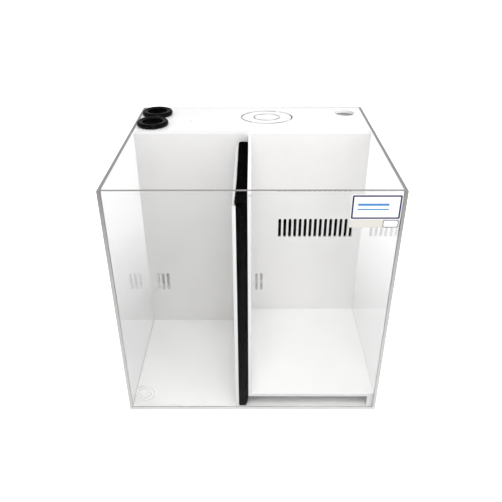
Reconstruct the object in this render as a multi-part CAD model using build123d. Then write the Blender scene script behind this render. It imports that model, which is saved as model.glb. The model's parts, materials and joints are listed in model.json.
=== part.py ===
from build123d import *
import os

# Aquarium filter sump, in millimetres. The origin is at the middle of the underside: +X to the right as seen
# from the front, +Y to the back, +Z up. Clear walls stand on a white base; white walls inside part the tank
# into a left front chamber, a foam slot, a raised-floor chamber on the right, and two covered rear chambers.

# Tank
tank_width = 400.0
tank_depth = 368.0
tank_height = 392.0
wall_sheet = 5.0             # clear panels
base_sheet = 6.0
inner_sheet = 5.0            # white walls, shelf and deck
rear_chamber_depth = 125.0   # from the weir wall's rear face to the back panel

# Foam slot, between the two dividers
foam_slot_width = 15.5
foam_slot_from_middle = 14.25   # slot's centre, left of the tank's middle
foam_side_gap = 0.3
left_divider_below_rim = 25.0
foam_below_rim = 17.0
right_divider_below_rim = 8.0

# Raised floor
under_floor_height = 22.0
floor_sheet = 6.0
floor_rail_width = 10.0
floor_leg_length = 20.0
floor_leg_from_end = 40.0

# Water slots: upright, with round ends
slot_height = 38.0
slot_pitch = 9.1
weir_slot_width = 5.3
weir_slot_inset = 18.6       # last slot's centre to the right panel
weir_slot_from_partition = 12.0   # least room left of the first slot's centre
weir_slot_bottom = 187.5     # above the base
low_slot_width = 5.0
low_slot_bottom = 72.0
left_low_slot_count = 3
left_low_slot_inset = 17.0   # first slot's centre to the left panel
right_low_slot_count = 2
right_low_slot_inset = 9.1   # first slot's centre to the right divider
divider_slot_count = 15
underflow_side_margin = 14.5

# Rear chambers
partition_from_middle = 33.5
shelf_pipe_gap = 10.8        # between the drop pipes and the shelf's free end
shelf_top = 87.0             # above the base
shelf_front_gap = 4.0
shelf_slot_count = 9
shelf_slot_width = 5.0
shelf_slot_margin = 20.0
shelf_rail_width = 5.0
shelf_front_rail_height = 4.0
shelf_rail_height = 10.0
shelf_leg = 10.0

# Foam pad behind the overflow slots
pad_thickness = 19.7
pad_below_slots = 43.0
pad_above_slots = 28.0
pad_gap = 0.3
strip_width = 10.0

# Deck cover, lies on the weir wall, the partition and two ledges
deck_gap = 0.5
ledge_width = 8.0
ledge_height = 10.0
vent_hole_diameter = 5.0
vent_from_left = 89.0
vent_from_weir = 53.0
return_hole_diameter = 34.4
return_from_right = 30.5
return_from_back = 31.0

# Pipe seals and drop pipes, for a one-inch pipe
pipe_outer_diameter = 33.4
pipe_wall = 3.4
pipe_end_above_base = 73.5
seal_from_left = 27.5
rear_seal_from_back = 40.0
seal_spacing = 58.0
seal_neck_diameter = 44.4
seal_rim_diameter = 53.0
seal_rim_height = 8.0
seal_rim_round = 3.2
seal_skirt_diameter = 50.0
seal_skirt_height = 12.0
seal_skirt_slope = 2.5
seal_mouth_round = 1.0
seal_relief_depth = 1.8
seal_relief_height = 4.0
lower_grip_height = 9.0

# Label on the front panel
label_width = 66.0
label_height = 48.0
label_thickness = 0.3
label_from_side_panel = 1.0
label_below_rim = 5.0

# Places worked out from the sizes above
right = tank_width / 2
inner_right = right - wall_sheet
inner_left = -inner_right
back = tank_depth / 2
inner_back = back - wall_sheet
front = -back
inner_front = -inner_back
rim = tank_height
floor_level = base_sheet
weir_rear = inner_back - rear_chamber_depth
weir_front = weir_rear - inner_sheet
slot_left = -foam_slot_from_middle - foam_slot_width / 2
slot_right = slot_left + foam_slot_width
raised_underside = floor_level + under_floor_height
raised_top = raised_underside + floor_sheet
chamber_left = slot_right + inner_sheet
partition_left = partition_from_middle - inner_sheet / 2
partition_right = partition_left + inner_sheet
deck_underside = rim - inner_sheet
shelf_level = floor_level + shelf_top
shelf_underside = shelf_level - inner_sheet
shelf_front = weir_rear + shelf_front_gap
weir_slots_z = floor_level + weir_slot_bottom
weir_slot_room = inner_right - weir_slot_inset - partition_right - weir_slot_from_partition
weir_slot_count = int(weir_slot_room / slot_pitch) + 1
low_slots_z = floor_level + low_slot_bottom
pad_bottom = weir_slots_z - pad_below_slots
pad_top = weir_slots_z + slot_height + pad_above_slots
pad_front = weir_rear + pad_gap
pad_rear = pad_front + pad_thickness
strip_front = pad_rear + pad_gap
strip_rear = strip_front + inner_sheet
seal_x = inner_left + seal_from_left
shelf_left = seal_x + pipe_outer_diameter / 2 + shelf_pipe_gap
shelf_length = partition_left - shelf_left
rear_seal_y = inner_back - rear_seal_from_back
front_seal_y = rear_seal_y - seal_spacing


def block(x_low, x_high, y_low, y_high, z_low, z_high):
    """A box between two corners."""
    middle = Pos((x_low + x_high) / 2, (y_low + y_high) / 2, (z_low + z_high) / 2)
    return middle * Box(x_high - x_low, y_high - y_low, z_high - z_low)


def slot_row(count, pitch, length, width, reach):
    """A row of upright round-ended slots along X, centred on the origin, cut along Y."""
    outline = Sketch() + [
        Pos((i - (count - 1) / 2) * pitch, 0) * SlotOverall(length, width, 90) for i in range(count)
    ]
    return extrude(Plane.XZ * outline, reach, both=True)


def upright_cylinder(x, y, z_low, z_high, diameter):
    return Pos(x, y, (z_low + z_high) / 2) * Cylinder(diameter / 2, z_high - z_low)


def make_base_panel():
    return block(-right, right, front, back, 0, floor_level)


def make_side_panel(side):
    x_inner, x_outer = sorted((side * inner_right, side * right))
    return block(x_inner, x_outer, front, back, floor_level, rim)


def make_front_panel():
    return block(inner_left, inner_right, front, inner_front, floor_level, rim)


def make_back_panel():
    return block(inner_left, inner_right, inner_back, back, floor_level, rim)


def make_weir_wall():
    """Full-width wall with the overflow slots, two groups of low slots and the underflow notch."""
    wall = block(inner_left, inner_right, weir_front, weir_rear, floor_level, deck_underside)
    wall_y = (weir_front + weir_rear) / 2
    slot_middle = slot_height / 2
    weir_x = inner_right - weir_slot_inset - (weir_slot_count - 1) * slot_pitch / 2
    left_x = inner_left + left_low_slot_inset + (left_low_slot_count - 1) * slot_pitch / 2
    right_x = chamber_left + right_low_slot_inset + (right_low_slot_count - 1) * slot_pitch / 2
    rows = [
        (weir_slot_count, weir_slot_width, weir_x, weir_slots_z),
        (left_low_slot_count, low_slot_width, left_x, low_slots_z),
        (right_low_slot_count, low_slot_width, right_x, low_slots_z),
    ]
    for count, width, x, z_low in rows:
        slots = slot_row(count, slot_pitch, slot_height, width, inner_sheet)
        wall -= Pos(x, wall_y, z_low + slot_middle) * slots
    notch = block(
        partition_right + underflow_side_margin,
        inner_right - underflow_side_margin,
        weir_front - inner_sheet,
        weir_rear + inner_sheet,
        floor_level - base_sheet,
        raised_underside,
    )
    return wall - notch


def make_left_divider():
    """Wall left of the foam, with a row of slots that let the water into the foam."""
    top = rim - left_divider_below_rim
    wall = block(slot_left - inner_sheet, slot_left, inner_front, weir_front, floor_level, top)
    slots = slot_row(divider_slot_count, slot_pitch, slot_height, weir_slot_width, inner_sheet)
    place = Pos(slot_left - inner_sheet / 2, (inner_front + weir_front) / 2, weir_slots_z + slot_height / 2)
    return wall - place * Rot(0, 0, 90) * slots


def make_right_divider():
    """Wall right of the foam. It stands on the raised floor, so water passes below it."""
    return block(slot_right, chamber_left, inner_front, weir_front, raised_top, rim - right_divider_below_rim)


def make_raised_floor():
    return block(slot_right, inner_right, inner_front, weir_front, raised_underside, raised_top)


def make_right_floor_rail():
    x_low = inner_right - floor_rail_width
    return block(x_low, inner_right, inner_front, weir_front, floor_level, raised_underside)


def make_floor_legs():
    """Two short legs under the right divider's line."""
    starts = [inner_front + floor_leg_from_end, weir_front - floor_leg_from_end - floor_leg_length]
    return [
        block(slot_right, chamber_left, start, start + floor_leg_length, floor_level, raised_underside)
        for start in starts
    ]


def make_foam_block():
    return block(
        slot_left + foam_side_gap,
        slot_right - foam_side_gap,
        inner_front + foam_side_gap,
        weir_front - foam_side_gap,
        floor_level,
        rim - foam_below_rim,
    )


def make_rear_partition():
    return block(partition_left, partition_right, weir_rear, inner_back, floor_level, deck_underside)


def make_media_shelf():
    """Shelf beside the drop pipes, with long slots from front to back."""
    shelf = block(shelf_left, partition_left, shelf_front, inner_back, shelf_underside, shelf_level)
    shelf_depth = inner_back - shelf_front
    pitch = (shelf_length - 2 * shelf_slot_margin) / (shelf_slot_count - 1)
    cuts = Sketch() + [
        Pos(shelf_left + shelf_slot_margin + i * pitch, (shelf_front + inner_back) / 2)
        * SlotOverall(shelf_depth - 2 * shelf_slot_margin, shelf_slot_width, 90)
        for i in range(shelf_slot_count)
    ]
    return shelf - Pos(0, 0, shelf_underside) * extrude(cuts, inner_sheet)


def make_shelf_front_rail():
    """Stiffener under the shelf's front edge, from the front leg to the partition."""
    return block(
        shelf_left + shelf_leg,
        partition_left,
        shelf_front,
        shelf_front + shelf_rail_width,
        shelf_underside - shelf_front_rail_height,
        shelf_underside,
    )


def make_shelf_side_rail():
    return block(
        partition_left - shelf_rail_width,
        partition_left,
        shelf_front + shelf_rail_width,
        inner_back,
        shelf_underside - shelf_rail_height,
        shelf_underside,
    )


def make_shelf_back_rail():
    return block(
        shelf_left + shelf_leg,
        partition_left - shelf_rail_width,
        inner_back - shelf_rail_width,
        inner_back,
        shelf_underside - shelf_rail_height,
        shelf_underside,
    )


def make_shelf_legs():
    """Two square legs under the shelf's free end."""
    starts = [shelf_front, inner_back - shelf_leg]
    return [
        block(shelf_left, shelf_left + shelf_leg, start, start + shelf_leg, floor_level, shelf_underside)
        for start in starts
    ]


def make_right_deck_ledge():
    z_low = deck_underside - ledge_height
    return block(inner_right - ledge_width, inner_right, weir_rear, inner_back, z_low, deck_underside)


def make_back_deck_ledge():
    """Ledge on the back panel, in two runs, one each side of the partition."""
    z_low = deck_underside - ledge_height
    y_low = inner_back - ledge_width
    return [
        block(inner_left, partition_left, y_low, inner_back, z_low, deck_underside),
        block(partition_right, inner_right - ledge_width, y_low, inner_back, z_low, deck_underside),
    ]


def make_weir_foam():
    return block(partition_right + pad_gap, inner_right - pad_gap, pad_front, pad_rear, pad_bottom, pad_top)


def make_weir_foam_ledge():
    return block(partition_right, inner_right, weir_rear, strip_rear, pad_bottom - inner_sheet, pad_bottom)


def make_foam_strip(x_low):
    return block(x_low, x_low + strip_width, strip_front, strip_rear, pad_bottom, pad_top)


def make_deck_cover():
    """Lid with the two seal holes, the return-pipe hole and a vent hole."""
    x_high = inner_right - deck_gap
    deck = block(-x_high, x_high, weir_front, inner_back - deck_gap, deck_underside, rim)
    holes = [
        (seal_x, front_seal_y, seal_neck_diameter),
        (seal_x, rear_seal_y, seal_neck_diameter),
        (inner_right - return_from_right, inner_back - return_from_back, return_hole_diameter),
        (inner_left + vent_from_left, weir_front + vent_from_weir, vent_hole_diameter),
    ]
    for x, y, diameter in holes:
        deck -= upright_cylinder(x, y, deck_underside, rim, diameter)
    return deck


def make_pipe_seal(y):
    """Turned rubber seal: rim above the deck, neck through it, tapered skirt below, and a relieved bore."""
    neck = seal_neck_diameter / 2
    rim_radius = seal_rim_diameter / 2
    skirt = seal_skirt_diameter / 2
    bore = pipe_outer_diameter / 2
    bottom = deck_underside - seal_skirt_height
    top = rim + seal_rim_height
    grip_top = bottom + lower_grip_height
    relief_top = grip_top + seal_relief_height
    corners = [
        (bore, bottom),
        (skirt - seal_skirt_slope, bottom),
        (skirt, deck_underside),
        (neck, deck_underside),
        (neck, rim),
        (rim_radius, rim),
        (rim_radius, top),
        (bore, top),
        (bore, relief_top),
        (bore + seal_relief_depth, relief_top),
        (bore + seal_relief_depth, grip_top),
        (bore, grip_top),
    ]
    profile = make_face(Polyline(*corners, close=True))
    outer_corner = profile.vertices().sort_by_distance((rim_radius, top))[0]
    profile = fillet(outer_corner, seal_rim_round)
    mouth_corner = profile.vertices().sort_by_distance((bore, top))[0]
    profile = fillet(mouth_corner, seal_mouth_round)
    return Pos(seal_x, y, 0) * revolve(Plane.XZ * profile, Axis.Z)


def make_drop_pipe(y):
    """Pipe gripped by the seal's lower lip, open at both ends."""
    grip_top = deck_underside - seal_skirt_height + lower_grip_height
    end = floor_level + pipe_end_above_base
    outside = upright_cylinder(seal_x, y, end, grip_top, pipe_outer_diameter)
    return outside - upright_cylinder(seal_x, y, end, grip_top, pipe_outer_diameter - 2 * pipe_wall)


def make_label_plate():
    """Thin plain plate on the front panel's outer face."""
    x_high = inner_right - label_from_side_panel
    z_high = rim - label_below_rim
    return block(x_high - label_width, x_high, front - label_thickness, front, z_high - label_height, z_high)


nodes = {
    "base_panel": make_base_panel(),
    "left_side_panel": make_side_panel(-1),
    "right_side_panel": make_side_panel(1),
    "front_panel": make_front_panel(),
    "back_panel": make_back_panel(),
    "weir_wall": make_weir_wall(),
    "left_divider": make_left_divider(),
    "right_divider": make_right_divider(),
    "raised_floor": make_raised_floor(),
    "right_floor_rail": make_right_floor_rail(),
    "floor_legs": make_floor_legs(),
    "foam_block": make_foam_block(),
    "rear_partition": make_rear_partition(),
    "media_shelf": make_media_shelf(),
    "shelf_front_rail": make_shelf_front_rail(),
    "shelf_side_rail": make_shelf_side_rail(),
    "shelf_back_rail": make_shelf_back_rail(),
    "shelf_legs": make_shelf_legs(),
    "right_deck_ledge": make_right_deck_ledge(),
    "back_deck_ledge": make_back_deck_ledge(),
    "weir_foam": make_weir_foam(),
    "weir_foam_ledge": make_weir_foam_ledge(),
    "left_foam_strip": make_foam_strip(partition_right),
    "right_foam_strip": make_foam_strip(inner_right - strip_width),
    "deck_cover": make_deck_cover(),
    "front_pipe_seal": make_pipe_seal(front_seal_y),
    "rear_pipe_seal": make_pipe_seal(rear_seal_y),
    "front_drop_pipe": make_drop_pipe(front_seal_y),
    "rear_drop_pipe": make_drop_pipe(rear_seal_y),
    "label_plate": make_label_plate(),
}

os.makedirs("parts", exist_ok=True)
for name, shape in nodes.items():
    solids = shape if isinstance(shape, list) else shape.solids()
    export_step(Compound(children=list(solids)), "parts/" + name + ".step")
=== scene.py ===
import json
import math
import bmesh
import bpy
import numpy as np
from mathutils import Matrix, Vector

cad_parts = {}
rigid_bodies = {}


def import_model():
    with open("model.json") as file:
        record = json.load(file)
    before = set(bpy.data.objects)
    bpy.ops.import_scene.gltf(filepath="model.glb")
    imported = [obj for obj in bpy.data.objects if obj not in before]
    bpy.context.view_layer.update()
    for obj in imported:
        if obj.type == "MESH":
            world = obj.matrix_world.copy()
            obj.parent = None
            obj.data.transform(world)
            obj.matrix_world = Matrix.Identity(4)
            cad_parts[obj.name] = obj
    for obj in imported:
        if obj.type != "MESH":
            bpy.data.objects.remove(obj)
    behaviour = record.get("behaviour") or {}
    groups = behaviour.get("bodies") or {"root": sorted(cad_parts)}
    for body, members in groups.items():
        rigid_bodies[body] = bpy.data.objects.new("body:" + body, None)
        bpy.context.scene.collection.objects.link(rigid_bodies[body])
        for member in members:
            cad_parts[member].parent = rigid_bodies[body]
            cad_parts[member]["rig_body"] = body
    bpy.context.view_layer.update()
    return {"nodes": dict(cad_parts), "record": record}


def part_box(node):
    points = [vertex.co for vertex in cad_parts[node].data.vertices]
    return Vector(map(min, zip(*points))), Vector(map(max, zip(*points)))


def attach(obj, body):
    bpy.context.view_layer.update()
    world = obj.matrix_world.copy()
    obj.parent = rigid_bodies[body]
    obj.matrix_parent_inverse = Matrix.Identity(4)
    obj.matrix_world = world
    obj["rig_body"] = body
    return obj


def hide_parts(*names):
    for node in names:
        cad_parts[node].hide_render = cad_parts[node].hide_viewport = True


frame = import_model()
print("frame loaded:", len(frame["nodes"]), "pieces")

mm = 0.001
slotOf = {part["node"]: part["material_slot"] for part in frame["record"]["subparts"]}
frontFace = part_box("front_panel")[0].y
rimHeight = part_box("left_side_panel")[1].z


def newObject(name, data):
    made = bpy.data.objects.new(name, data)
    bpy.context.scene.collection.objects.link(made)
    return made


def meshPiece(name, points, faces, smooth=True):
    mesh = bpy.data.meshes.new(name)
    mesh.from_pydata(points, [], faces)
    mesh.validate()
    mesh.polygons.foreach_set("use_smooth", np.full(len(mesh.polygons), smooth))
    return newObject(name, mesh)


def dress(piece, *materials):
    piece.data.materials.clear()
    for material in materials:
        piece.data.materials.append(material)


# Quads between neighbouring points of a grid stored row by row. Its rows or columns may close on themselves.
def gridFaces(rows, columns, wrapRows=False, wrapColumns=False):
    i, j = np.meshgrid(
        np.arange(rows if wrapRows else rows - 1),
        np.arange(columns if wrapColumns else columns - 1),
        indexing="ij",
    )
    nextI = (i + 1) % rows
    nextJ = (j + 1) % columns
    corners = [i * columns + j, i * columns + nextJ, nextI * columns + nextJ, nextI * columns + j]
    return np.stack([corner.ravel() for corner in corners], axis=1)


# Points of a circle's arc between two angles in degrees: centre + radius (cos a, sin a).
def arc(centreX, centreY, radius, fromDeg, toDeg, count):
    a = np.radians(np.linspace(fromDeg, toDeg, count))
    return np.stack([centreX + radius * np.cos(a), centreY + radius * np.sin(a)], axis=1)


# A ring turned about an upright axis: each point (radius, height) of the closed profile goes round as
# (x + radius cos a, y + radius sin a, height).
def turned(name, centreX, centreY, profile, steps):
    profile = np.concatenate([np.atleast_2d(part) for part in profile])
    angle = np.linspace(0, 2 * math.pi, steps, endpoint=False)
    radius = profile[:, 0][:, None]
    height = np.broadcast_to(profile[:, 1][:, None], (len(profile), steps))
    points = np.stack([centreX + radius * np.cos(angle), centreY + radius * np.sin(angle), height], axis=2)
    return meshPiece(name, points.reshape(-1, 3), gridFaces(len(profile), steps, True, True))


def newGroup(name, inputs, outputs):
    group = bpy.data.node_groups.new(name, "ShaderNodeTree")
    for label, value in inputs:
        socket = group.interface.new_socket(label, in_out="INPUT", socket_type="NodeSocketFloat")
        socket.default_value = value
    for label, kind in outputs:
        group.interface.new_socket(label, in_out="OUTPUT", socket_type=kind)
    return group, group.nodes.new("NodeGroupInput"), group.nodes.new("NodeGroupOutput")


# A new node with its links and its plain values. A value's name is that of an input, with underscores for its
# spaces, or else that of one of the node's settings.
def addNode(tree, kind, links=None, **values):
    node = tree.nodes.new(kind)
    for key, value in values.items():
        label = key.replace("_", " ")
        if label in node.inputs:
            node.inputs[label].default_value = value
        else:
            setattr(node, key, value)
    for key, source in (links or {}).items():
        tree.links.new(source, node.inputs[key])
    return node


def objectPlace(tree):
    return addNode(tree, "ShaderNodeTexCoord").outputs["Object"]


# One operation on two numbers, of which the second may be a plain one.
def reckon(tree, operation, first, second):
    node = addNode(tree, "ShaderNodeMath", {0: first}, operation=operation)
    if isinstance(second, bpy.types.NodeSocket):
        tree.links.new(second, node.inputs[1])
    else:
        node.inputs[1].default_value = second
    return node.outputs[0]


# A value that goes evenly from low to high as the mask goes from one limit to the other, and stays there past
# the limits.
def between(tree, mask, low, high, limits=(0, 1)):
    node = addNode(tree, "ShaderNodeMapRange", {"Value": mask}, From_Min=limits[0], From_Max=limits[1],
                   To_Min=low, To_Max=high)
    return node.outputs[0]


# The given number where the switch is 0 and a plain one where it is 1.
def swapped(tree, switch, given, plain):
    node = tree.nodes.new("ShaderNodeMix")
    tree.links.new(switch, node.inputs["Factor"])
    tree.links.new(given, node.inputs[2])
    node.inputs[3].default_value = plain
    return node.outputs[0]


# A colour that goes from one to the other as the mask goes from 0 to 1.
def blendColours(tree, mask, low, high):
    node = addNode(tree, "ShaderNodeMix", data_type="RGBA")
    tree.links.new(mask, node.inputs["Factor"])
    colour = [socket for socket in node.inputs if socket.type == "RGBA"]
    colour[0].default_value = (*low, 1)
    colour[1].default_value = (*high, 1)
    return [socket for socket in node.outputs if socket.type == "RGBA"][0]


# Hand marks on a polished surface: a mask that goes from 0 to 1 over the edges of broad smudges.
def makeHandlingMarks():
    group, given, result = newGroup(
        "handlingMarks", [("Smudge Scale", 14.0)], [("Smudges", "NodeSocketFloat")])
    noise = addNode(group, "ShaderNodeTexNoise", {"Vector": objectPlace(group), "Scale": given.outputs[0]},
                    Detail=5.0, Roughness=0.6)
    smudgeLimits = (0.45, 0.72)     # noise at which a smudge starts and is full
    group.links.new(between(group, noise.outputs[0], 0, 1, smudgeLimits), result.inputs["Smudges"])
    return group


# Slow unevenness of a surface, as a tilted normal.
def makeUnevenSurface():
    group, given, result = newGroup(
        "unevenSurface",
        [("Scale", 9.0), ("Depth", 0.2 * mm)],
        [("Normal", "NodeSocketVector")],
    )
    noise = addNode(group, "ShaderNodeTexNoise", {"Vector": objectPlace(group), "Scale": given.outputs[0]},
                    Detail=2.0)
    bump = addNode(group, "ShaderNodeBump", {"Height": noise.outputs[0], "Distance": given.outputs[1]},
                   Strength=1.0)
    group.links.new(bump.outputs[0], result.inputs["Normal"])
    return group


def newMaterial(name, **values):
    material = bpy.data.materials.new(name)
    material.use_nodes = True
    tree = material.node_tree
    tree.nodes.clear()
    output = tree.nodes.new("ShaderNodeOutputMaterial")
    shader = addNode(tree, "ShaderNodeBsdfPrincipled", **values)
    tree.links.new(shader.outputs[0], output.inputs["Surface"])
    return material, tree, shader


def placeGroup(tree, group, **values):
    node = tree.nodes.new("ShaderNodeGroup")
    node.node_tree = group
    for key, value in values.items():
        node.inputs[key.replace("_", " ")].default_value = value
    return node


handlingMarks = makeHandlingMarks()
unevenSurface = makeUnevenSurface()


smudgeWork = {      # the smudges' scale, and the roughness where clean and where smudged
    "white": 14.0,  # its roughness goes with the finish
    "clear": (8.0, 0.0, 0.03),
    "rubber": (60.0, 0.22, 0.42),
    "print": (90.0, 0.3, 0.45),
    "frost": (200.0, 0.5, 0.8),
}


# Dulls the shader in smudges, and gives their mask.
def smudge(tree, shader, scale, clean, smudged):
    mask = placeGroup(tree, handlingMarks, Smudge_Scale=scale).outputs["Smudges"]
    tree.links.new(between(tree, mask, clean, smudged), shader.inputs["Roughness"])
    return mask


# White sheet and pipe: duller and a shade darker in the smudges, and not quite flat.
def whiteMaterial(name, colour, smudged, roughness):
    material, tree, shader = newMaterial(name, IOR=1.49)
    mask = smudge(tree, shader, smudgeWork["white"], *roughness)
    tree.links.new(blendColours(tree, mask, colour, smudged), shader.inputs["Base Color"])
    tree.links.new(placeGroup(tree, unevenSurface).outputs["Normal"], shader.inputs["Normal"])
    return material


# Clear sheet: glass of acrylic's index that casts no shadow, and shows the given share of its reflections.
def clearMaterial(name, shine):
    material, tree, shader = newMaterial(
        name, Base_Color=(0.985, 0.99, 0.988, 1), IOR=1.49, Transmission_Weight=1.0,
        Specular_Tint=(shine, shine, shine, 1))
    smudge(tree, shader, *smudgeWork["clear"])
    ray = tree.nodes.new("ShaderNodeLightPath")
    through = tree.nodes.new("ShaderNodeBsdfTransparent")
    mix = tree.nodes.new("ShaderNodeMixShader")
    tree.links.new(ray.outputs["Is Shadow Ray"], mix.inputs[0])
    tree.links.new(shader.outputs[0], mix.inputs[1])
    tree.links.new(through.outputs[0], mix.inputs[2])
    tree.links.new(mix.outputs[0], tree.nodes["Material Output"].inputs["Surface"])
    return material


# Sawn and scraped edge of the clear sheet: a little see-through, and pale at the foot. It darkens by a power
# of the height, so that most of the change is near the rim. This darkening is a painted dark reflection of
# the surroundings that a clear edge shows.
def clearEdgeMaterial(name, foot, rim, power=2.2):
    material, tree, shader = newMaterial(name, IOR=1.49, Transmission_Weight=0.3, Roughness=0.3)
    height = addNode(tree, "ShaderNodeSeparateXYZ", {0: objectPlace(tree)}).outputs["Z"]
    rise = between(tree, height, 0, 1, (0, rimHeight))
    paintedReflection = reckon(tree, "POWER", rise, power)
    tree.links.new(blendColours(tree, paintedReflection, foot, rim), shader.inputs["Base Color"])
    return material


foamFinish = {
    "black": (0.0025, 0.0025, 0.0025),
    "paintedGlint": (0.05, 0.048, 0.046),
    "glintLimits": (0.16, 0.05),     # distance from a painted highlight's middle where it starts and is full
    "glintBeside": 0.4,              # strength of the painted highlights on the sides, to 1 on top, which faces the light
    "cellDepth": 1.2 * mm,
}


# Open-cell filter foam: black, with deep cells and painted highlights, pale spots where a cell wall would
# catch the light, most of all on top, where the light falls.
def foamMaterial():
    material, tree, shader = newMaterial("blackFoam", Roughness=0.95, Specular_IOR_Level=0.0)
    place = objectPlace(tree)
    cells = addNode(tree, "ShaderNodeTexVoronoi", {"Vector": place}, Scale=700.0)
    glintCells = addNode(tree, "ShaderNodeTexVoronoi", {"Vector": place}, Scale=320.0)
    paintedGlint = between(tree, glintCells.outputs["Distance"], 0, 1, foamFinish["glintLimits"])
    normal = addNode(tree, "ShaderNodeNewGeometry").outputs["Normal"]
    facing = addNode(tree, "ShaderNodeSeparateXYZ", {0: normal})
    upward = between(tree, facing.outputs["Z"], foamFinish["glintBeside"], 1.0)
    lit = reckon(tree, "MULTIPLY", paintedGlint, upward)
    tree.links.new(blendColours(tree, lit, foamFinish["black"], foamFinish["paintedGlint"]),
                   shader.inputs["Base Color"])
    bump = addNode(tree, "ShaderNodeBump", {"Height": cells.outputs["Distance"]}, Strength=0.9,
                   Distance=foamFinish["cellDepth"])
    tree.links.new(bump.outputs[0], shader.inputs["Normal"])
    return material


rubberFinish = {
    "black": (0.0012, 0.0012, 0.0012),
    "dusty": (0.004, 0.004, 0.0037),
}


# Moulded rubber: near black, satin, with a little dust in the smudges.
def rubberMaterial():
    material, tree, shader = newMaterial(
        "sealRubber", Coat_Weight=0.02, Coat_Roughness=0.12, Specular_IOR_Level=0.06)
    mask = smudge(tree, shader, *smudgeWork["rubber"])
    tree.links.new(blendColours(tree, mask, rubberFinish["black"], rubberFinish["dusty"]),
                   shader.inputs["Base Color"])
    return material


# Plain printed film in one colour, a little duller in the smudges.
def printMaterial(name, colour):
    material, tree, shader = newMaterial(name, Base_Color=(*colour, 1))
    smudge(tree, shader, *smudgeWork["print"])
    return material


# Etched, frosted ring on clear sheet, which lets some of what is behind it through.
def frostMaterial():
    material, tree, shader = newMaterial("frostedMark", Base_Color=(0.8, 0.8, 0.8, 1), Alpha=0.55)
    smudge(tree, shader, *smudgeWork["frost"])
    return material


# Colour where clean and where smudged, and the roughness likewise. These are lit and shaded copies of one
# white acrylic. Painted light makes the deck, the floors and the cut edges, which face the light, lighter
# than the walls' whiteSheet. Painted shade makes the base's front edge darker.
whiteFinishesLitAndShaded = {
    "whiteSheet": ((0.83, 0.822, 0.817), (0.8, 0.792, 0.787), (0.05, 0.15)),
    "whiteSheetEdgePaintedLit": ((0.92, 0.92, 0.92), (0.9, 0.9, 0.9), (0.35, 0.45)),
    "baseSheetEdgePaintedShade": ((0.72, 0.715, 0.7), (0.7, 0.695, 0.68), (0.35, 0.45)),
    "floorSheetPaintedLit": ((0.94, 0.935, 0.93), (0.91, 0.905, 0.9), (0.05, 0.15)),
    "deckSheetPaintedLit": ((0.96, 0.96, 0.96), (0.95, 0.95, 0.95), (0.14, 0.24)),
    "pipePlastic": ((0.86, 0.86, 0.85), (0.83, 0.83, 0.82), (0.22, 0.32)),
}
# Share of the reflections shown. The front panel shows hardly any, so that the chambers behind it stay clear.
clearFinishes = {"clearSheet": 1.0, "frontSheet": 0.04}
# Colour at the foot and at the rim, where the painted dark reflection is deepest.
clearEdgeWithPaintedReflection = {
    "clearSheetEdge": ((0.8, 0.8, 0.79), (0.35, 0.335, 0.33)),
    "backSheetEdge": ((0.8, 0.8, 0.8), (0.6, 0.6, 0.6)),
}
printFinishes = {
    "labelWhite": (0.88, 0.88, 0.88),
    "labelCream": (0.66, 0.63, 0.58),
    "labelNavy": (0.012, 0.012, 0.1),
    "labelBlue": (0.05, 0.25, 0.55),
    "ringPrint": (0.02, 0.035, 0.09),
}

finish = {name: whiteMaterial(name, *values) for name, values in whiteFinishesLitAndShaded.items()}
finish.update({name: clearMaterial(name, shine) for name, shine in clearFinishes.items()})
finish.update({name: clearEdgeMaterial(name, *colours) for name, colours in clearEdgeWithPaintedReflection.items()})
finish.update({name: printMaterial(name, colour) for name, colour in printFinishes.items()})
finish.update(blackFoam=foamMaterial(), sealRubber=rubberMaterial(), frostedMark=frostMaterial())
print("materials ready")


sheetWork = {
    "weld": 0.01 * mm,        # distance within which loose corners are one
    "flatAngle": 0.5,         # degrees within which neighbouring faces become one
    "sharpAngle": 40,         # degrees from which an edge is eased
    "easing": 0.4 * mm,       # width of the scraped edge
    "easingSteps": 2,
    "cement": 0.06 * mm,      # film between a white sheet and the clear one it is bonded to
    # the deck and the floors take the copies with painted light, and the base's edge takes the one with
    # painted shade
    "finish": {"base_panel": "floorSheetPaintedLit", "raised_floor": "floorSheetPaintedLit", "deck_cover": "deckSheetPaintedLit",
               "front_panel": "frontSheet"},     # where it isn't the slot's own
    "edge": {"base_panel": "baseSheetEdgePaintedShade", "back_panel": "backSheetEdge"},
}


# A copy of a CAD piece with its loose triangles merged and its sharp edges eased, as scraped edges are.
def easedCopy(node):
    source = frame["nodes"][node]
    mesh = source.data.copy()
    mesh.name = node + "_finished"
    piece = newObject(node + "_finished", mesh)
    work = bmesh.new()
    work.from_mesh(mesh)
    bmesh.ops.remove_doubles(work, verts=work.verts, dist=sheetWork["weld"])
    bmesh.ops.dissolve_limit(work, angle_limit=math.radians(sheetWork["flatAngle"]), verts=work.verts,
                             edges=work.edges)
    work.to_mesh(mesh)
    work.free()
    mesh.polygons.foreach_set("use_smooth", np.zeros(len(mesh.polygons), bool))
    bevel = piece.modifiers.new("easedEdge", "BEVEL")
    bevel.width = sheetWork["easing"]
    bevel.segments = sheetWork["easingSteps"]
    bevel.limit_method = "ANGLE"
    bevel.angle_limit = math.radians(sheetWork["sharpAngle"])
    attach(piece, source["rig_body"])
    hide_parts(node)
    return piece


# Gives a sheet its finish, and its edge finish to the faces that turn away from its thin axis. The underside
# of a clear panel is bonded to the base, so it stays clear.
def dressSheet(piece, node, plain, plainEdge, clearUnderside):
    dress(piece, finish[sheetWork["finish"].get(node, plain)], finish[sheetWork["edge"].get(node, plainEdge)])
    low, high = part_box(node)
    thinAxis = int(np.argmin(np.array(high) - np.array(low)))
    normals = np.zeros(len(piece.data.polygons) * 3)
    piece.data.polygons.foreach_get("normal", normals)
    normals = normals.reshape(-1, 3)
    isEdge = np.abs(normals[:, thinAxis]) < 0.5
    if clearUnderside:
        isEdge &= normals[:, 2] > -0.5
    piece.data.polygons.foreach_set("material_index", isEdge.astype(np.int32))


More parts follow.
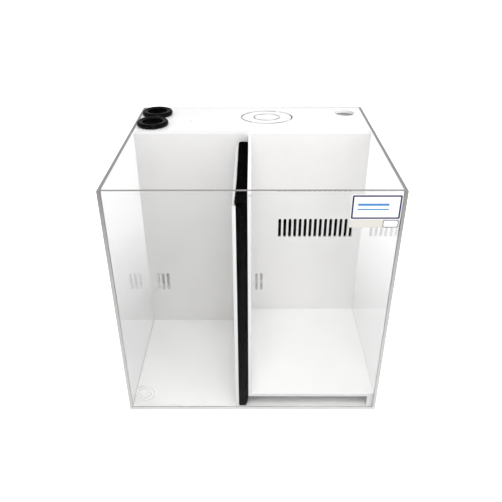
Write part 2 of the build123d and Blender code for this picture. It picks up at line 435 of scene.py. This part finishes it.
# Draws a bonded sheet's vertices in from the clear panels by the film's thickness.
def drawIn(piece):
    film = sheetWork["cement"]
    low = np.array([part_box("left_side_panel")[1].x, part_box("front_panel")[1].y, -1]) + film
    high = np.array([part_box("right_side_panel")[0].x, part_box("back_panel")[0].y, 1]) - film
    points = np.zeros(len(piece.data.vertices) * 3)
    piece.data.vertices.foreach_get("co", points)
    points = np.clip(points.reshape(-1, 3), low, high)
    piece.data.vertices.foreach_set("co", points.ravel())
    piece.data.update()


def buildClearPanels():
    for node, slot in slotOf.items():
        if slot == "clear_sheet":
            dressSheet(easedCopy(node), node, "clearSheet", "clearSheetEdge", True)


def buildWhiteSheets():
    for node, slot in slotOf.items():
        if slot in ("white_sheet", "deck_sheet"):
            piece = easedCopy(node)
            if node != "base_panel":
                drawIn(piece)
            dressSheet(piece, node, "whiteSheet", "whiteSheetEdgePaintedLit", False)


foamWork = {
    "gridStep": 1.8 * mm,
    "cornerRound": 2.5 * mm,
    "cornerTurn": 30,           # degrees that the directions turn away at each end of a side
    "roundRows": 5,             # rows of points over a rounded edge
    "flatRows": 4,              # rows from a rounded edge to the middle
    "weld": 0.02 * mm,
    "fill": 0.8,                # how full the padding is
    "cell": 3.2 * mm,           # size of the open cells
    "poreReach": 0.55,          # share of a cell over which a pore fades
    "poreDepth": 0.8 * mm,
    "swellDepth": 0.25 * mm,    # slow waves in the cut faces
    "swellWaves": (310.0, 90.0, 47.0),      # radians in a metre of each axis
    "swellBend": (2.0, 33.0),   # radians the waves are bent by, and in a metre of height
    "lean": 2.6 * mm,           # how far the top spreads over the lower divider
    "leanStart": 0.5 * mm,      # height above that divider where it starts
    "leanRise": 4.0 * mm,
    "leanBehind": 0.35,         # share of it that is left at the back
    "leanReach": 60.0 * mm,     # distance from the front over which it fades to that
    "footDraw": 3.5 * mm,       # how far the front lower right corner is drawn in
    "footRise": 16.0 * mm,
    "footReach": 30.0 * mm,
}


# Distance, in cells, from each point to the nearest of the feature points scattered one per cell of a cubic
# lattice. The scatter in each cell comes from a sine hash of its indices.
def cellDistance(points, size):
    hashWeights = np.array([12.9898, 78.233, 37.719])
    hashGain = 43758.5453
    hashShifts = (0.0, 1.7, 3.9)
    cell = np.floor(points / size)
    nearest = np.full(len(points), np.inf)
    around = [-1, 0, 1]
    for offset in np.stack(np.meshgrid(around, around, around, indexing="ij"), -1).reshape(-1, 3):
        home = cell + offset
        seed = home @ hashWeights
        scatter = np.stack([np.sin(seed + shift) * hashGain for shift in hashShifts], axis=1) % 1.0
        nearest = np.minimum(nearest, np.linalg.norm(home + scatter - points / size, axis=1))
    return nearest


# A soft block: each point is a point of an inner box plus the corner radius times a unit direction. Columns
# run round the upright outline, and rows run from the foot's middle line up the sides to the top's.
def softBlock(low, high):
    low = np.array(low)
    high = np.array(high)
    rounding = foamWork["cornerRound"]
    step = foamWork["gridStep"]
    half = (high - low) / 2 - rounding
    alongX = np.linspace(-1, 1, max(3, int(2 * half[0] / step)))
    alongY = np.linspace(-1, 1, max(3, int(2 * half[1] / step)))
    rise = np.linspace(-half[2], half[2], max(3, int(2 * half[2] / step)))
    one = np.ones_like
    sides = (
        (one(alongY), alongY, 0),
        (-alongX, one(alongX), 90),
        (-one(alongY), -alongY, 180),
        (alongX, -one(alongX), 270),
    )
    inner = []
    outward = []
    for x, y, turn in sides:
        inner.append(np.stack([x, y], axis=1))
        facing = np.full(len(x), math.radians(turn))
        facing[0] -= math.radians(foamWork["cornerTurn"])
        facing[-1] += math.radians(foamWork["cornerTurn"])
        outward.append(np.stack([np.cos(facing), np.sin(facing)], axis=1))
    inner = np.concatenate(inner) * half[:2]
    outward = np.concatenate(outward)
    tilt = np.radians(np.linspace(0, 90, foamWork["roundRows"]))
    flat = np.linspace(1, 0, foamWork["flatRows"] + 1)[1:]
    stretches = (     # each row's share of the inner box, its height and its direction's angle
        (flat[::-1], -half[2], -math.pi / 2),
        (one(tilt), -half[2], -tilt[::-1]),
        (one(rise[1:-1]), rise[1:-1], 0),
        (one(tilt), half[2], tilt),
        (flat, half[2], math.pi / 2),
    )
    across, lift, angle = np.concatenate([np.stack(np.broadcast_arrays(*part)) for part in stretches], axis=1)
    rows, columns = len(across), len(inner)
    direction = np.stack([
        np.cos(angle)[:, None] * outward[:, 0],
        np.cos(angle)[:, None] * outward[:, 1],
        np.broadcast_to(np.sin(angle)[:, None], (rows, columns)),
    ], axis=2)
    core = np.stack([
        across[:, None] * inner[:, 0],
        np.broadcast_to(inner[:, 1], (rows, columns)),
        np.broadcast_to(lift[:, None], (rows, columns)),
    ], axis=2)
    return (low + high) / 2 + core + rounding * direction, direction


# The main block: above the lower divider it spreads to the left by a smooth step in height, most at the
# front, and its front lower right corner is drawn in by a cosine over the last stretch of height.
def settleMainBlock(flat, low, high):
    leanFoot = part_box("left_divider")[1].z + foamWork["leanStart"]
    above = np.clip((flat[:, 2] - leanFoot) / foamWork["leanRise"], 0, 1)
    above = above * above * (3 - 2 * above)
    frontness = np.clip(1 - (flat[:, 1] - low.y) / foamWork["leanReach"], 0, 1)
    leftness = np.clip((high.x - flat[:, 0]) / (high.x - low.x), 0, 1)
    behind = foamWork["leanBehind"]
    flat[:, 0] -= foamWork["lean"] * above * (behind + (1 - behind) * frontness) * leftness
    foot = np.clip(1 - (flat[:, 2] - low.z) / foamWork["footRise"], 0, 1)
    nearFront = np.clip(1 - (flat[:, 1] - low.y) / foamWork["footReach"], 0, 1)
    flat[:, 0] -= foamWork["footDraw"] * (1 - np.cos(foot * math.pi / 2)) * nearFront * (1 - leftness)
    return flat


# A soft block drawn in along its directions by the pores, which are deepest at the cells' feature points, and
# by the waves, a sine of the place that a slower sine of the height bends.
def buildFoam(node, settle=None):
    low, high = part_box(node)
    points, direction = softBlock(low, high)
    rows, columns = points.shape[:2]
    flat = points.reshape(-1, 3)
    away = direction.reshape(-1, 3)
    pores = np.clip(1 - cellDistance(flat, foamWork["cell"]) / foamWork["poreReach"], 0, 1)
    bend, bendWaves = foamWork["swellBend"]
    waves = flat @ np.array(foamWork["swellWaves"]) + bend * np.sin(flat[:, 2] * bendWaves)
    swell = 0.5 + 0.5 * np.sin(waves)
    flat = flat - away * (foamWork["poreDepth"] * pores + foamWork["swellDepth"] * swell)[:, None]
    if settle is not None:
        flat = settle(flat, low, high)
    piece = meshPiece(node + "_porous", flat, gridFaces(rows, columns, False, True))
    work = bmesh.new()
    work.from_mesh(piece.data)
    bmesh.ops.remove_doubles(work, verts=work.verts, dist=foamWork["weld"])
    bmesh.ops.recalc_face_normals(work, faces=work.faces)
    work.to_mesh(piece.data)
    work.free()
    dress(piece, finish["blackFoam"])
    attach(piece, frame["nodes"][node]["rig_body"])
    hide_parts(node)


sealWork = {
    "boreRadius": 16.7 * mm,
    "neckRadius": 22.2 * mm,    # where it passes through the deck
    "skirtRadius": 25.0 * mm,   # below the deck
    "skirtTaper": 2.5 * mm,
    "footRound": 1.2 * mm,
    "footBevel": 0.8 * mm,
    "rimRound": 3.8 * mm,
    "dishInset": 2.0 * mm,
    "dishStart": 0.3 * mm,
    "dishDepth": 1.1 * mm,
    "lipRound": 1.4 * mm,
    "grooveTop": 1.0 * mm,      # above the deck's underside
    "grooveFoot": 3.0 * mm,     # below it
    "grooveSlope": 0.6 * mm,
    "grooveDepth": 1.8 * mm,
    "steps": 96,
}


# The seal's closed profile runs out along its foot, up the skirt to the deck, through it, out under the rim,
# over the rim's rounded top to a shallow dish that falls to the bore's lip, and down the bore past a groove.
def buildSeal(node):
    low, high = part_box(node)
    under, over = (corner.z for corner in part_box("deck_cover"))
    rimTop, foot = high.z, low.z
    bore, neck, skirt = (sealWork[name] for name in ("boreRadius", "neckRadius", "skirtRadius"))
    soft, bevel = sealWork["footRound"], sealWork["footBevel"]
    rim = sealWork["rimRound"]
    rimMiddle = (high.x - low.x) / 2 - rim
    lip = sealWork["lipRound"]
    groove = bore + sealWork["grooveDepth"]
    grooveTop = under + sealWork["grooveTop"]
    grooveFoot = under - sealWork["grooveFoot"]
    slope = sealWork["grooveSlope"]
    profile = [
        (bore, foot + bevel), (bore + bevel, foot),
        arc(skirt - sealWork["skirtTaper"] - soft, foot + soft, soft, -90, 0, 5),
        (skirt, under), (neck, under), (neck, over),
        arc(rimMiddle, over + rim, rim, -90, 0, 9),
        arc(rimMiddle, rimTop - rim, rim, 0, 90, 9),
        (rimMiddle - sealWork["dishInset"], rimTop - sealWork["dishStart"]),
        arc(bore + lip, rimTop - sealWork["dishDepth"] - lip, lip, 80, 180, 6),
        (bore, grooveTop), (groove, grooveTop - slope),
        (groove, grooveFoot + slope), (bore, grooveFoot),
    ]
    piece = turned(node + "_moulded", (low.x + high.x) / 2, (low.y + high.y) / 2, profile, sealWork["steps"])
    dress(piece, finish["sealRubber"])
    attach(piece, "deck")
    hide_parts(node)


pipeWork = {
    "wall": 3.4 * mm,
    "chamfer": 1.2 * mm,      # at the foot, outside
    "easing": 0.3 * mm,
    "steps": 72,
}


# The drop pipe's closed profile: its foot from the bore out to the chamfer, up the outside, over the top and
# down the bore.
def buildDropPipe(node):
    low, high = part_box(node)
    outer = (high.x - low.x) / 2
    inner = outer - pipeWork["wall"]
    chamfer = pipeWork["chamfer"]
    ease = pipeWork["easing"]
    profile = [
        (inner, low.z + ease), (inner + ease, low.z), (outer - chamfer, low.z), (outer, low.z + chamfer),
        (outer, high.z - ease), (outer - ease, high.z), (inner + ease, high.z), (inner, high.z - ease),
    ]
    piece = turned(node + "_cut", (low.x + high.x) / 2, (low.y + high.y) / 2, profile, pipeWork["steps"])
    dress(piece, finish["pipePlastic"])
    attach(piece, "deck")
    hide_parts(node)


# A rounded rectangle's outline: an arc about each corner of the inner rectangle, joined by straight sides.
def roundedOutline(halfWidth, halfHeight, corner, count=7):
    signs = ((1, 1, 0), (-1, 1, 90), (-1, -1, 180), (1, -1, 270))
    return np.concatenate([
        arc(sx * (halfWidth - corner), sy * (halfHeight - corner), corner, turn, turn + 90, count)
        for sx, sy, turn in signs
    ])


# An outline stood upright about a middle (x, z), at one depth y.
def upright(outline, middle, depth):
    across = middle[0] + outline[:, 0]
    up = middle[1] + outline[:, 1]
    return np.stack([across, np.full(len(outline), depth), up], axis=1)


# A closed outline on the front face carried outwards by a thickness, flat on both sides.
def frontPlate(name, middle, outline, back, thickness):
    count = len(outline)
    rows = [upright(outline, middle, depth) for depth in (back, back - thickness)]
    faces = gridFaces(2, count, False, True).tolist()
    faces += [list(range(count)), list(range(2 * count - 1, count - 1, -1))]
    return meshPiece(name, np.concatenate(rows), faces, smooth=False)


# A line on the front face: the band between an outer and an inner outline, carried outwards by a thickness.
def frontBand(name, middle, outer, inner, back, thickness):
    front = back - thickness
    edges = ((outer, back), (outer, front), (inner, front), (inner, back))
    rows = [upright(outline, middle, depth) for outline, depth in edges]
    return meshPiece(name, np.concatenate(rows), gridFaces(4, len(outer), True, True), smooth=False)


def printPiece(piece, colour, body="tank"):
    dress(piece, finish[colour])
    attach(piece, body)


labelWork = {
    "film": 0.15 * mm,
    "ink": 0.05 * mm,
    "corner": 1.6 * mm,
    "fieldHeight": 36.0 * mm,
    "margin": 1.0 * mm,          # from the field's edge to its frame
    "frameLine": 2.2 * mm,
    "frameInnerCorner": 0.8 * mm,
    "bars": (                    # middle and half size, as shares of the field's half size
        ((-0.12, 0.2), (0.62, 0.09)),
        ((-0.12, -0.18), (0.62, 0.05)),
    ),
    "barRound": 0.9,             # ends' radius as a share of a bar's half height
    "boxSize": (20.5 * mm, 11.0 * mm),
    "boxFoot": 0.3 * mm,
    "boxCorner": 2.0 * mm,
    "boxLine": 0.9 * mm,
    "boxInnerCorner": 1.6 * mm,
}


# The label: a cream backing, a white field with a navy frame, two plain blue bars, and a small empty box.
def buildLabel():
    work = labelWork
    ink = work["ink"]
    low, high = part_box("label_plate")
    x, z = (low.x + high.x) / 2, (low.z + high.z) / 2
    halfWidth, halfHeight = (high.x - low.x) / 2, (high.z - low.z) / 2
    outline = roundedOutline(halfWidth, halfHeight, work["corner"])
    backing = frontPlate("label_backing", (x, z), outline, high.y, work["film"])
    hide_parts("label_plate")
    printPiece(backing, "labelCream")
    paper = high.y - work["film"]
    halfField = work["fieldHeight"] / 2
    middle = (x, high.z - halfField)
    outline = roundedOutline(halfWidth, halfField, work["corner"])
    printPiece(frontPlate("label_field", middle, outline, paper, ink), "labelWhite")
    inset = work["margin"]
    outer = roundedOutline(halfWidth - inset, halfField - inset, work["corner"])
    inset += work["frameLine"]
    inner = roundedOutline(halfWidth - inset, halfField - inset, work["frameInnerCorner"])
    printPiece(frontBand("label_frame", middle, outer, inner, paper - ink, ink), "labelNavy")
    for number, ((shiftX, shiftZ), (wide, tall)) in enumerate(work["bars"]):
        outline = roundedOutline(halfWidth * wide, halfField * tall, halfField * tall * work["barRound"])
        barMiddle = (x + shiftX * halfWidth, middle[1] + shiftZ * halfField)
        bar = frontPlate("label_bar_%d" % number, barMiddle, outline, paper - ink, ink)
        printPiece(bar, "labelBlue")
    halfBoxX, halfBoxZ = (size / 2 for size in work["boxSize"])
    middle = (high.x - halfBoxX - inset / 2, low.z + halfBoxZ + work["boxFoot"])
    outer = roundedOutline(halfBoxX, halfBoxZ, work["boxCorner"])
    inner = roundedOutline(halfBoxX - work["boxLine"], halfBoxZ - work["boxLine"], work["boxInnerCorner"])
    printPiece(frontPlate("label_box", middle, outer, paper, ink), "labelWhite")
    printPiece(frontBand("label_box_line", middle, outer, inner, paper - ink, ink), "labelNavy")


markWork = {
    "film": 0.05 * mm,
    "deckPlace": (25.4 * mm, 124.0 * mm),
    "deckRadii": (45.0 * mm, 36.0 * mm),
    "deckLine": 2.6 * mm,
    "deckRuns": (                # share of the radii, and the angles where a stretch of print starts and ends
        (1.0, -30, 60), (1.0, 66, 148), (1.0, 152, 236), (1.0, 240, 325),
        (0.52, 10, 170), (0.52, 178, 352),
    ),
    "deckSteps": 40,
    "wear": (0.78, 0.22, 5),     # mean and swing of the line's width, and the swings in a turn
    "frontPlace": (-172.0 * mm, 38.0 * mm),
    "frontRadius": 16.0 * mm,
    "frontShares": (1.0, 0.66),
    "frontLine": 1.6 * mm,
    "frontTurn": (0, 357, 80),   # first and last angle and number of points, closed by the band's wrap
}


# A printed line on the deck: the band between an oval and the same oval drawn in by the line's width, over
# the angles given, where each point is (x + a cos t, y + b sin t). The width goes by a sine of the angle, as
# worn print does.
def deckBand(name, radii, angles, base):
    centreX, centreY = markWork["deckPlace"]
    t = np.radians(angles)
    mean, swing, swings = markWork["wear"]
    worn = markWork["deckLine"] * (mean + swing * np.sin(swings * t + radii[0] / mm))
    top = base + markWork["film"]
    rows = []
    for inward, z in ((0, base), (0, top), (1, top), (1, base)):
        x = centreX + (radii[0] - inward * worn) * np.cos(t)
        y = centreY + (radii[1] - inward * worn) * np.sin(t)
        rows.append(np.stack([x, y, np.full(len(t), z)], axis=1))
    count = len(t)
    start = np.arange(4) * count
    faces = gridFaces(4, count, True, False).tolist()
    faces += [start.tolist(), (start + count - 1)[::-1].tolist()]
    return meshPiece(name, np.concatenate(rows), faces, smooth=False)


def buildMarks():
    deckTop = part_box("deck_cover")[1].z
    for number, (share, start, end) in enumerate(markWork["deckRuns"]):
        radii = [radius * share for radius in markWork["deckRadii"]]
        angles = np.linspace(start, end, markWork["deckSteps"])
        ring = deckBand("deck_ring_%d" % number, radii, angles, deckTop)
        printPiece(ring, "ringPrint", "deck")
    for number, share in enumerate(markWork["frontShares"]):
        radius = markWork["frontRadius"] * share
        outer = arc(0, 0, radius, *markWork["frontTurn"])
        inner = arc(0, 0, radius - markWork["frontLine"], *markWork["frontTurn"])
        ring = frontBand("front_mark_%d" % number, markWork["frontPlace"], outer, inner, frontFace,
                         markWork["film"])
        printPiece(ring, "frostedMark")


buildClearPanels()
buildWhiteSheets()
print("sheets done")
buildFoam("foam_block", settleMainBlock)
buildFoam("weir_foam")
print("foam done")
for sealNode in ("front_pipe_seal", "rear_pipe_seal"):
    buildSeal(sealNode)
for pipeNode in ("front_drop_pipe", "rear_drop_pipe"):
    buildDropPipe(pipeNode)
buildLabel()
buildMarks()
print("seals, pipes, label and marks done")


stageWork = {
    "floorSize": 6.0,
    "floorColour": (0.8, 0.8, 0.8, 1),
    "floorGlow": 0.9,           # lifts the floor to plain white where the camera sees it directly
    "glowThrough": 0.4,         # the same where it is seen through clear sheet, away from the tank; nearer the tank it fades into a painted contact shadow
    "paintedShadowReach": (0.25, 0.55),  # distances from the tank's middle over which the painted contact shadow gives way to that glow
    "skySeen": 1.05,            # the sky for rays that have met no dull surface yet
    "skyForShade": 0.8,         # and for those that have
    "skyForGloss": 0.5,         # the sky that gloss mirrors
    "lampSize": 0.8,
    "lampAim": (0.0, 0.0, 0.15),
    "lampForGloss": "overFront",    # the one lamp that shows in gloss
    "lamps": {                  # place and power
        "overFront": ((0.0, -0.9, 1.5), 8.4),
        "frontRight": ((0.9, -0.7, 1.2), 3.6),
        "lowFrontRight": ((1.1, -1.3, 0.5), 4.0),
        "lowLeft": ((-1.6, 0.2, 0.5), 1.2),
        "lowBack": ((0.0, 1.7, 0.6), 7.0),
    },
}


# The floor is a plain square. Its glow for the camera is even. For other rays that have met no dull surface
# yet, it grows with the distance from the tank's middle, which paints a contact shadow around the tank.
def buildStage():
    half = stageWork["floorSize"] / 2
    corners = np.array([(-half, -half, 0), (half, -half, 0), (half, half, 0), (-half, half, 0)])
    floor = meshPiece("studio_floor", corners, [(0, 1, 2, 3)], smooth=False)
    material, tree, shader = newMaterial("studioFloor", Base_Color=stageWork["floorColour"], Roughness=0.6)
    shader.inputs["Emission Color"].default_value = (1, 1, 1, 1)
    ray = tree.nodes.new("ShaderNodeLightPath")
    away = addNode(tree, "ShaderNodeVectorMath", {0: objectPlace(tree)}, operation="DISTANCE")
    away.inputs[1].default_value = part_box("base_panel")[0].lerp(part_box("base_panel")[1], 0.5)
    clearOfPaintedShadow = between(tree, away.outputs["Value"], 0, 1, stageWork["paintedShadowReach"])
    undimmed = reckon(tree, "LESS_THAN", ray.outputs["Diffuse Depth"], 0.5)
    through = between(tree, reckon(tree, "MULTIPLY", clearOfPaintedShadow, undimmed), 0, stageWork["glowThrough"])
    glow = swapped(tree, ray.outputs["Is Camera Ray"], through, stageWork["floorGlow"])
    tree.links.new(glow, shader.inputs["Emission Strength"])
    dress(floor, material)
    floor.visible_glossy = False


def addLight(name, place, power):
    lamp = bpy.data.lights.new(name, "AREA")
    lamp.shape = "DISK"
    lamp.size = stageWork["lampSize"]
    lamp.energy = power
    light = newObject(name, lamp)
    light.visible_camera = False
    light.visible_transmission = False
    light.visible_glossy = name == stageWork["lampForGloss"]
    light.location = place
    aim = np.array(stageWork["lampAim"]) - np.array(place)
    light.rotation_euler = (
        math.atan2(math.hypot(aim[0], aim[1]), -aim[2]), 0, math.atan2(aim[0], -aim[1]) + math.pi)


# A white sky whose strength goes by what the ray has met, and the lamps.
def buildLight():
    world = bpy.data.worlds.new("studio")
    bpy.context.scene.world = world
    world.use_nodes = True
    tree = world.node_tree
    tree.nodes.clear()
    output = tree.nodes.new("ShaderNodeOutputWorld")
    sky = addNode(tree, "ShaderNodeBackground", Color=(1, 1, 1, 1))
    ray = tree.nodes.new("ShaderNodeLightPath")
    shaded = reckon(tree, "GREATER_THAN", ray.outputs["Diffuse Depth"], 0.5)
    seen = between(tree, shaded, stageWork["skySeen"], stageWork["skyForShade"])
    notThrough = between(tree, ray.outputs["Is Transmission Ray"], 1, 0)
    mirrored = reckon(tree, "MULTIPLY", ray.outputs["Is Glossy Ray"], notThrough)
    tree.links.new(swapped(tree, mirrored, seen, stageWork["skyForGloss"]), sky.inputs["Strength"])
    tree.links.new(sky.outputs[0], output.inputs["Surface"])
    for name, (place, power) in stageWork["lamps"].items():
        addLight(name, place, power)


cameraWork = {
    "place": (0.0002, -0.8342, 0.6912),
    "turns": (("Z", 0.18), ("X", 59.154), ("Z", -0.12)),     # heading, tilt and roll in degrees
    "lens": 40.0,
    "sensorWidth": 36,
    "nearest": 10 * mm,
}


def buildCamera():
    data = bpy.data.cameras.new("camera")
    data.lens = cameraWork["lens"]
    data.sensor_width = cameraWork["sensorWidth"]
    data.clip_start = cameraWork["nearest"]
    camera = newObject("camera", data)
    camera.location = cameraWork["place"]
    turn = Matrix.Identity(3)
    for axis, degrees in cameraWork["turns"]:
        turn = turn @ Matrix.Rotation(math.radians(degrees), 3, axis)
    camera.rotation_euler = turn.to_euler()
    bpy.context.scene.camera = camera


buildStage()
buildLight()
buildCamera()
bpy.context.scene.view_settings.view_transform = "Standard"     # plain colours, as the finishes are given
print("stage ready")

bpy.context.view_layer.update()
